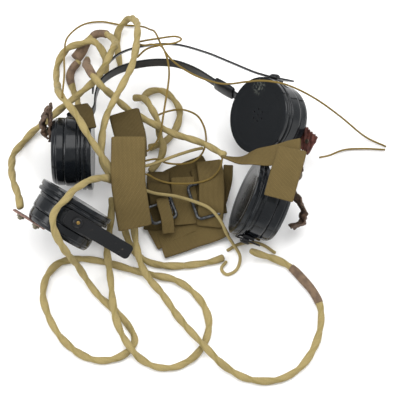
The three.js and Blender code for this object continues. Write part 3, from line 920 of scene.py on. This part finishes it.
def leather_flap(name, points, width, finish):
    """Torn leather that stands off a receiver's back, its surface crumpled by two waves."""
    rings = ribbon_rings(points, [(0, 1, 0)] * len(points), width, 1.6, step=0.7, across=30)
    x, y = rings[..., 0], rings[..., 1]
    lift = 1.1 * np.sin(x * 0.7 + y * 0.5) + 0.8 * np.sin(y * 1.1 - x * 0.4)
    y = y * (1 + 0.07 * np.sin(x * 1.7))
    rings = np.stack([x + 0.9 * np.sin(y * 0.9), y, rings[..., 2] + lift], axis=-1)
    skin(
        f"{name}_leather", on_tab(drawn_in(rings), name), finish=finish,
        body=f"{name}_receiver",
    )


def crumpled_tab(name, finish, metal, crumple):
    """Fibre or leather tab: an oblong whose surface is lifted by summed slow waves, with
    two screws and six-sided nuts."""
    body = f"{name}_receiver"
    low = RECEIVER_DEPTH + 0.3
    middle = [(x, 0, low + 0.8) for x in (10, 19, 29, 38)]
    rings = ribbon_rings(middle, [(0, 1, 0)] * 4, 17, 1.5, step=0.7, across=30)
    x, y = rings[..., 0], rings[..., 1]
    fray = 1 + 0.06 * np.sin(x * 1.9) + 0.05 * np.sin(x * 4.3 + 1)
    lift = crumple * (np.sin(x * 0.55 + 1.3) * np.cos(y * 0.7) + 0.5 * np.sin(x * 1.3 - y * 0.9))
    z = rings[..., 2] + lift + crumple * 0.6
    rings = drawn_in(np.stack([x + crumple * 0.5 * np.sin(y * 1.1), y * fray, z], axis=-1))
    made = skin(f"{name}_tab", on_tab(rings, name), finish=finish, body=body)
    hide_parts(f"{name}_terminal_tab")
    for k, x in enumerate((17, 31)):
        nut = rounded([(0, low + 1.2), (3.2, low + 1.2), (3.2, low + 3.6), (0, low + 3.6)], 0.25)
        rings = on_tab(turned_rings(nut, 6) + (x, 0, crumple), name)
        skin(f"{name}_nut_{k}", rings, finish=metal, body=body, smooth=False)
        screw = [(0, low - 0.2), (1.9, low - 0.2), (1.9, low + 4.6), (1.2, low + 5.3), (0, low + 5.4)]
        screw = rounded(screw, 0.4)
        rings = on_tab(turned_rings(screw, 24) + (x, 0, 0), name)
        skin(f"{name}_screw_{k}", rings, finish=metal, body=body)


# ======================= steel =======================
def band(name, points, widthways, width, node, finish):
    """Spring-steel strip: a rounded oblong section carried along the band's middle line."""
    rings = ribbon_rings(points, widthways, width, STEEL, step=1.2, across=24)
    made = skin(name, drawn_in(rings, 0.1), finish=finish)
    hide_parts(node)


def plate(name, receiver, low, high, finish):
    """End plate with rounded corners, on the lug side of a receiver."""
    width, height = high[0] - low[0], high[1] - low[1]
    middle = ((high[0] + low[0]) / 2, (high[1] + low[1]) / 2)
    edge = outline(width, height, min(width, height) * 0.28) + middle
    rings = slab_rings(edge, END_PLATE_AT, END_PLATE_AT + STEEL, 0.4)
    return skin(name, on_lug(across_lug(rings), receiver), finish=finish)


INNER_BAND = [
    (-95, 69.9, 31), (-90, 71, 31), (-86, 77, 31), (-85, 89, 31), (-81, 101, 31),
    (-68, 112, 31), (-45, 119, 31), (-22, 119, 31), (-4, 112, 31), (12, 101, 31),
    (30, 88.5, 30.5),
]
OUTER_BAND = [
    (-87.5, 92, 33), (-86, 101, 33), (-80, 111, 34), (-66, 124, 38), (-42, 129, 43),
    (-20, 128, 46), (4, 118, 51), (24, 106, 56), (44, 94.5, 59.5), (54, 92, 58),
    (58, 93, 54.2),
]


def slider(finish):
    """Sleeve that slides on the inner band: an oval tube with a flat oval bore."""
    angle = full_turn(48)

    def squared(wave, power, reach):
        return np.sign(wave) * np.abs(wave) ** power * reach

    # Along the band, half the thickness, half the width, and how square the oval is.
    stations = [
        (-8.6, 1.5, 6.9, 0.5), (-8.9, 2.1, 7.4, 0.6), (-8.0, 2.7, 7.9, 0.7), (-4, 3.1, 8.3, 0.75),
        (0, 3.2, 8.4, 0.75), (4, 3.1, 8.3, 0.75), (8.0, 2.7, 7.9, 0.7), (8.9, 2.1, 7.4, 0.6),
        (8.6, 1.5, 6.9, 0.5), (0, 1.4, 6.8, 0.5),
    ]
    rings = []
    for along, thick, wide, power in stations:
        x, z = squared(np.cos(angle), power, thick), squared(np.sin(angle), power, wide)
        rings.append(np.stack([np.full_like(x, along), x, z], axis=1))
    rings = np.array(rings) @ spun(-0.6) + (20, 95.5, 31)
    made = skin("sliding_clip", rings, loop=True, finish=finish, body=CLIP)
    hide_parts("band_slider")


def wire_buckle(name, node, turn, at, finish):
    """Flattened wire bent into a frame: an oval section carried round a rounded oblong,
    with a straight bar across its middle."""
    height = 1.3
    path = outline(20.6, 30.6, 3.4, 8)
    path = even(np.vstack([path, path[:1]]), 1.0)[:-1]
    path = np.column_stack([path, np.full(len(path), height)])
    along = unit(np.roll(path, -1, axis=0) - np.roll(path, 1, axis=0))
    up = np.array([0, 0, 1.0])
    out = np.cross(along, up)
    angle = full_turn(14)[None, :, None]
    rings = path[:, None] + out[:, None] * np.cos(angle) * 1.35 + up * np.sin(angle) * 1.15
    bar = tube_rings(even(np.array([(-9.8, 0, height), (9.8, 0, height)]), 1.2), 1.1, 14)
    matrix = spun(turn)
    frame_piece = skin(name, rings @ matrix + at, loop=True, finish=finish)
    skin(f"{name}_bar", bar @ matrix + at, finish=finish)
    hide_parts(node)


# ======================= cloth =======================
def strap(
    name, points, widthways, width, thick, finish, nodes=(), ripple=0.25, crown=0.0, body=ROOT
):
    """A webbing strap on its path."""
    rings = drawn_in(
        ribbon_rings(points, widthways, width, thick, ripple=ripple, crown=crown)
    )
    uv = skin_uv(rings, 2 * width)
    made = skin(name, rings, uv=uv, finish=finish, body=body)
    if nodes:
        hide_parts(*nodes)
    return made


def plan_ways(points, tilt=(0, 0, 1)):
    """Directions square to a line and to the tilt: how a strap lies flat."""
    p = np.array(points, float)
    return np.cross(np.gradient(p, axis=0), tilt)


# ======================= cords =======================
def lay_section(path, phase):
    """Rings of a two-ply cord: the outline round two touching circles, turning evenly
    along the path. A point at angle a from the plies' line is at h|cos a| plus the root of
    r squared less h sin a squared."""
    waist = sizes().cord_waist
    ply = CORD_R * waist
    offset = CORD_R - ply
    along, side, other = untwisted(path)
    angle = full_turn(28)[None]
    run = travel(path)[:, None]
    pitch = sizes().cord_lay / MM
    slack = 0.5 * np.sin(run / 41 + phase) + 0.3 * np.sin(run / 17 + 2 * phase)
    spin = TURN * run / pitch + slack + phase
    swell = 1 + 0.05 * np.sin(run / 7 + phase) + 0.03 * np.sin(run / 3.1)
    swell = swell + 0.04 * np.sin(run / 2.3 + 2 * angle)
    r = offset * np.abs(np.cos(angle)) + np.sqrt(ply**2 - (offset * np.sin(angle)) ** 2)
    r = np.minimum(r * swell, CORD_R * 1.03)
    turned = angle + spin
    return carried(path, side, other, r * np.cos(turned), r * np.sin(turned)), along


def rope(name, points, finish):
    """One twisted cord on its route."""
    path = route(points, step=1.1)
    rings, along = lay_section(path, phase=len(points) * 0.7)
    rings = above_table(domed(rings, along, reach=1.6))
    uv = skin_uv(rings, 1)
    made = skin(f"twisted_{name}", rings, uv=uv, finish=finish)
    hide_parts(f"cord_{name}")


def thin_wire(name, points, radius, finish):
    """Round cloth-covered wire on its route."""
    path = route(points, step=1.5)
    rings = tube_rings(path, radius)
    made = skin(f"covered_{name}", rings, uv=skin_uv(rings, 1), finish=finish)
    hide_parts(name)


def thread_ridge(path, angle, height):
    """Ridges of wound thread: one for each turn, on a helix."""
    return height * np.abs(np.sin(np.pi * travel(path)[:, None] / THREAD_PITCH + angle / 2))


def whipping(name, cord, start, end, radius, finish):
    """Thread wound round a cord: a sleeve whose radius rises and falls once a turn, on a
    helix, and thins out at both ends."""
    path = route(CORDS[cord], step=0.25)
    run = travel(path) / travel(path)[-1]
    path = path[(run >= start) & (run <= end)]
    along, side, other = untwisted(path)
    angle = full_turn(24)[None]
    share = np.linspace(0, 1, len(path))[:, None]
    taper = 1 - 0.1 * np.abs(2 * share - 1) ** 8
    lump = 0.12 * np.sin(share * 9 + angle * 2)
    r = radius * taper + thread_ridge(path, angle, 0.17) + lump
    rings = carried(path, side, other, r * np.cos(angle), r * np.sin(angle))
    rings = above_table(domed(rings, along, reach=0.5))
    skin(f"whipping_{name}", rings, finish=finish)


def y_joint(finish):
    """The bound fork where two legs meet: a lofted oval that widens to one side."""
    path = route([(-104, 137, 7.6), (-100, 143, 8), (-97, 149, 8.2), (-94, 154, 8.2)], step=0.25)
    along = unit(np.gradient(path, axis=0))
    angle = full_turn(32)[None]
    share = np.linspace(0, 1, len(path))[:, None]
    flat = unit(np.cross(along, (0, 0, 1)))
    up = np.cross(flat, along)
    wide = 4.8 - 1.8 * share + 0.5 * np.sin(np.pi * share)
    thick = 3.4 + 0.5 * np.sin(np.pi * share) - 0.3 * share
    ridge = thread_ridge(path, angle, 0.18)
    rings = carried(path, flat, up, (wide + ridge) * np.cos(angle), (thick + ridge) * np.sin(angle))
    rings = domed(rings, along, reach=0.8)
    made = skin("bound_fork", rings, finish=finish)
    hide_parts("cord_y_splitter")


# ======================= operators =======================
class BuildStep(bpy.types.Operator):
    bl_options = {"REGISTER", "UNDO"}

    def execute(self, context):
        self.build(context)
        return {"FINISHED"}


class HEADPHONES_OT_stage(BuildStep):
    """Sets the table, the soft lights and the camera"""

    bl_idname = "headphones.stage"
    bl_label = "Stage"

    def build(self, context):
        scene = context.scene
        camera = bpy.data.objects.new("camera", bpy.data.cameras.new("camera"))
        camera.data.lens = 157.5
        camera.data.sensor_width = 36
        elevation = np.radians(65)
        reach, target = 1.4, 0.02
        camera.location = (0, -reach * np.cos(elevation), target + reach * np.sin(elevation))
        camera.rotation_euler = (np.pi / 2 - elevation, 0, 0)
        camera.data.clip_start = 0.05
        scene.collection.objects.link(camera)
        scene.camera = camera
        scene.view_settings.view_transform = "Standard"
        self.table(scene)
        self.lights(scene)

    def table(self, scene):
        """A flat square, the table top, just below the frame's floor."""
        mesh = bpy.data.meshes.new("table")
        side, level = 4.0, -0.0002
        corners = [(x * side, y * side, level) for x, y in ((-1, -1), (1, -1), (1, 1), (-1, 1))]
        mesh.from_pydata(corners, [], [(0, 1, 2, 3)])
        table = bpy.data.objects.new("table", mesh)
        mesh.materials.append(floor_finish())
        scene.collection.objects.link(table)

    def lights(self, scene):
        world = bpy.data.worlds.new("soft room")
        world.use_nodes = True
        glow = world.node_tree.nodes["Background"].inputs
        glow["Color"].default_value = (1, 1, 1, 1)
        glow["Strength"].default_value = 0.8
        scene.world = world
        # Name, place, size in metres, power in watts and turn in radians.
        boxes = (
            ("overhead", (0.1, 0.25, 1.5), 1.2, 17, (0.1, 0, 0)),
            ("left box", (-1.1, -0.2, 0.8), 0.7, 9, (0.2, -0.95, 0)),
            ("right box", (1.2, 0.3, 0.7), 0.6, 7, (-0.2, 1.05, 0)),
        )
        for name, place, size, power, turn in boxes:
            lamp = bpy.data.lights.new(name, "AREA")
            lamp.shape = "SQUARE"
            lamp.size = size
            lamp.energy = power
            obj = bpy.data.objects.new(name, lamp)
            obj.location = place
            obj.rotation_euler = turn
            scene.collection.objects.link(obj)


class HEADPHONES_OT_cords(BuildStep):
    """Lays the twisted cotton cords on their routes"""

    bl_idname = "headphones.cords"
    bl_label = "Twisted cords"

    def build(self, context):
        cotton = cotton_finish()
        for name, points in CORDS.items():
            rope(name, points, cotton)


class HEADPHONES_OT_wires(BuildStep):
    """Lays the thin cloth-covered wires and leads"""

    bl_idname = "headphones.wires"
    bl_label = "Thin wires"

    def build(self, context):
        yellow = cotton_finish("cloth-covered wire", straw=colours().wire, groove=False)
        pale = cotton_finish("cloth-covered lead", groove=False)
        for name, points in WIRES.items():
            thin_wire(name, points, WIRE_R, yellow)
        for name, points in LEADS.items():
            thin_wire(name, points, LEAD_R, pale)


class HEADPHONES_OT_whippings(BuildStep):
    """Winds thread round the cords at their joints"""

    bl_idname = "headphones.whippings"
    bl_label = "Whippings"

    def build(self, context):
        thread = whipping_finish()
        for name, (cord, start, end, radius) in WHIPPINGS.items():
            whipping(name, cord, start, end, radius, thread)
        y_joint(thread)


class HEADPHONES_OT_receivers(BuildStep):
    """Turns the bakelite caps, bodies and backs of the four receivers"""

    bl_idname = "headphones.receivers"
    bl_label = "Receivers"

    def build(self, context):
        gloss = bakelite_finish("black bakelite")
        worn = bakelite_finish("worn black bakelite", dust=0.3)
        dusty = dusty_face_finish()
        steel = black_steel_finish("blackened lug", wear=0.6)
        brass = bare_metal_finish("worn brass", (0.42, 0.27, 0.08), (0.16, 0.1, 0.035), 0.35)
        for name in RECEIVERS:
            ear_cap(name, worn)
            case(name, gloss)
            back_cover(name, gloss)
            lug(name, steel, brass)
        self.dust_the_face("upper_right_cap", dusty)

    def dust_the_face(self, name, dusty):
        """Gives the cap's flat outer face its own finish: faces that look along the axis."""
        mesh = bpy.data.objects[name].data
        mesh.materials.append(dusty)
        face, back = (np.array(v, float) for v in RECEIVERS["upper_right"][:2])
        back = unit(back)
        facing = -(of_faces(mesh, "normal") @ back)
        depth = (of_faces(mesh, "center") - face * MM) @ back
        outer = (facing > 0.8) & (depth < MM)
        mesh.polygons.foreach_set("material_index", outer.astype(np.int32))


class HEADPHONES_OT_tabs(BuildStep):
    """Makes the fibre and leather tabs with their screws"""

    bl_idname = "headphones.tabs"
    bl_label = "Terminal tabs"

    def build(self, context):
        leather = fibre_finish("crumpled brown leather", (0.045, 0.026, 0.016), (0.13, 0.075, 0.045))
        pink = fibre_finish("pressed fibre", (0.2, 0.11, 0.09), (0.33, 0.2, 0.16))
        red = fibre_finish("red-brown fibre", (0.05, 0.012, 0.008), (0.12, 0.03, 0.018))
        metal = bare_metal_finish("tarnished screws", (0.2, 0.18, 0.13), (0.06, 0.05, 0.038))
        crumpled_tab("upper_left", leather, metal, 0.9)
        crumpled_tab("lower_left", pink, metal, 0.12)
        crumpled_tab("upper_right", red, metal, 0.5)
        crumpled_tab("lower_right", leather, metal, 1.0)
        off = RECEIVER_DEPTH + 2
        leather_flap(
            "upper_left", [(36, 0, off), (30, 0, off + 4), (22, 0, off + 6), (13, 0, off + 3)], 18,
            leather,
        )
        leather_flap(
            "lower_right",
            [(18, 0, off), (13, 0, off + 8), (6, 0, off + 15), (-2, 0, off + 17), (-9, 0, off + 11)],
            17, leather,
        )


class HEADPHONES_OT_bands(BuildStep):
    """Bends the steel bands and fits their end plates and the sliding clip"""

    bl_idname = "headphones.bands"
    bl_label = "Steel bands"

    def build(self, context):
        enamel = black_steel_finish("black enamelled steel")
        up = [(0, 0, 1)] * len(INNER_BAND)
        band("inner_strip", INNER_BAND, up, BAND_WIDTH, "inner_band", enamel)
        out = [VIEW_SIDE] * len(OUTER_BAND)
        band("outer_strip", OUTER_BAND, out, OUTER_BAND_WIDTH, "outer_band", enamel)
        plate("upper_left_plate", "upper_left", (-6, 5), (6, 22), enamel)
        plate("upper_right_plate", "upper_right", (-6, 8), (6, 33), enamel)
        left = plate("lower_left_plate", "lower_left", (-50, 8), (11, 20), enamel)
        right = plate("lower_right_plate", "lower_right", (-9, 6), (9, 26), enamel)
        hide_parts("lower_left_end_strip")
        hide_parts("lower_right_end_strip")
        slider(enamel)


class HEADPHONES_OT_harness(BuildStep):
    """Folds the khaki webbing straps"""

    bl_idname = "headphones.harness"
    bl_label = "Webbing harness"

    def build(self, context):
        khaki = webbing_finish()
        # A darker copy of the webbing: painted shade for the straps that lie in shade.
        painted_shade_khaki = webbing_finish("shaded khaki webbing", tone=0.6)
        flat = (1, 0, 0)
        strap(
            "left_strap",
            [(-56, 32, 67), (-56, 13, 65), (-56, -1, 60), (-54, -15, 50), (-51, -30, 34)],
            [flat, flat, (1, 0.05, 0), (1, 0.15, 0), (1, 0.3, 0)],
            WEBBING, WEBBING_THICK * 0.8, khaki, ["webbing_left_strap"],
        )
        strap(
            "left_fold",
            [(-54, 20, 58), (-55, 38, 55), (-58, 52, 50), (-61, 66, 44)],
            [flat, (1, 0.1, 0), (1, 0.3, 0), (1, 0.6, 0)],
            WEBBING - 2, WEBBING_THICK * 0.8, painted_shade_khaki, ["webbing_left_fold"], ripple=0.5,
        )
        strap(
            "right_strap",
            [(22, 26, 44), (32, 22, 50), (43, 20, 58), (56, 17, 66), (68, 16, 74), (77, 15, 79)],
            [VIEW_SIDE, (0, -0.6, 0.8), (0, -0.85, 0.5), (-0.1, -0.97, 0.2), (-0.25, -0.95, -0.1),
             (-0.35, -0.88, -0.3)],
            WEBBING - 7, WEBBING_THICK * 0.8, khaki, ["webbing_right_strap"], ripple=0.2,
        )
        strap(
            "right_flap",
            [(71, 14, 81.8), (69, 5, 84.4), (65, -8, 83.4), (60, -25, 77.5)],
            [(0.97, -0.22, 0)] * 4,
            WEBBING - 4, WEBBING_THICK * 0.8, khaki, ripple=0.3,
        )
        strap(
            "webbing_end", [(38, -19, 3.2), (44, -22, 2.8), (49, -24.5, 2.4)],
            [(0.53, 0.85, 0)] * 3, 8, 1.6, painted_shade_khaki, ripple=0.1,
        )
        strap(
            "scrap", [(-96, 71, 48), (-92, 62, 55), (-90, 52, 61.5), (-88, 42, 64)],
            [flat] * 4, 13, 1.4, painted_shade_khaki, ripple=0.4, body="upper_left_receiver",
        )
        for name, (points, width, thick) in FOLDS.items():
            # Folds that lie in shade get the darker copy, as painted shade.
            tone = painted_shade_khaki if name in SHADED else khaki
            made = strap(name, points, plan_ways(points), width, thick, tone, ripple=0.2, crown=0.2)
            if name == "fold_shaded":
                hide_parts("webbing_pile")


class HEADPHONES_OT_buckles(BuildStep):
    """Bends the wire buckles of the harness"""

    bl_idname = "headphones.buckles"
    bl_label = "Wire buckles"

    def build(self, context):
        steel = bare_metal_finish("dark buckle steel", (0.09, 0.095, 0.1), (0.03, 0.03, 0.032), 0.45)
        wire_buckle("left_wire_buckle", "left_buckle", 0.35, (-33, -2, 15.3), steel)
        wire_buckle("right_wire_buckle", "right_buckle", 0.3, (4, 2, 15.3), steel)


class HEADPHONES_OT_inside(BuildStep):
    """Gives the works inside each receiver their finishes"""

    bl_idname = "headphones.inside"
    bl_label = "Works inside"

    def build(self, context):
        iron = bare_metal_finish("lacquered iron", (0.16, 0.16, 0.165), (0.08, 0.08, 0.085), 0.4)
        magnet = bare_metal_finish("magnet steel", (0.06, 0.06, 0.065), (0.03, 0.028, 0.027), 0.55)
        copper = bare_metal_finish("enamelled copper", (0.3, 0.11, 0.045), (0.15, 0.05, 0.02), 0.3)
        for receiver in RECEIVERS:
            for part, finish in (("diaphragm", iron), ("magnet", magnet), ("coils", copper)):
                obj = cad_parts[f"{receiver}_{part}"]
                obj.data.materials.clear()
                obj.data.materials.append(finish)


STEPS = (
    HEADPHONES_OT_stage, HEADPHONES_OT_cords, HEADPHONES_OT_wires, HEADPHONES_OT_whippings,
    HEADPHONES_OT_receivers, HEADPHONES_OT_tabs, HEADPHONES_OT_bands, HEADPHONES_OT_harness,
    HEADPHONES_OT_buckles, HEADPHONES_OT_inside,
)


class HEADPHONES_PT_panel(bpy.types.Panel):
    """Lists the build steps and the settings"""

    bl_idname = "HEADPHONES_PT_panel"
    bl_label = "Radio headphones"
    bl_space_type = "VIEW_3D"
    bl_region_type = "UI"
    bl_category = "Headphones"

    def draw(self, context):
        for group in (context.scene.headphone_sizes, context.scene.headphone_colours):
            for name in group.__annotations__:
                self.layout.prop(group, name)
        for step in STEPS:
            self.layout.operator(step.bl_idname)


CLASSES = (HeadphoneSizes, HeadphoneColours, *STEPS, HEADPHONES_PT_panel)


def register():
    for cls in CLASSES:
        bpy.utils.register_class(cls)
    bpy.types.Scene.headphone_sizes = PointerProperty(type=HeadphoneSizes)
    bpy.types.Scene.headphone_colours = PointerProperty(type=HeadphoneColours)


def unregister():
    del bpy.types.Scene.headphone_colours
    del bpy.types.Scene.headphone_sizes
    for cls in reversed(CLASSES):
        bpy.utils.unregister_class(cls)


def main():
    register()
    for step in STEPS:
        group, action = step.bl_idname.split(".")
        getattr(getattr(bpy.ops, group), action)()


if __name__ == "__main__":
    main()
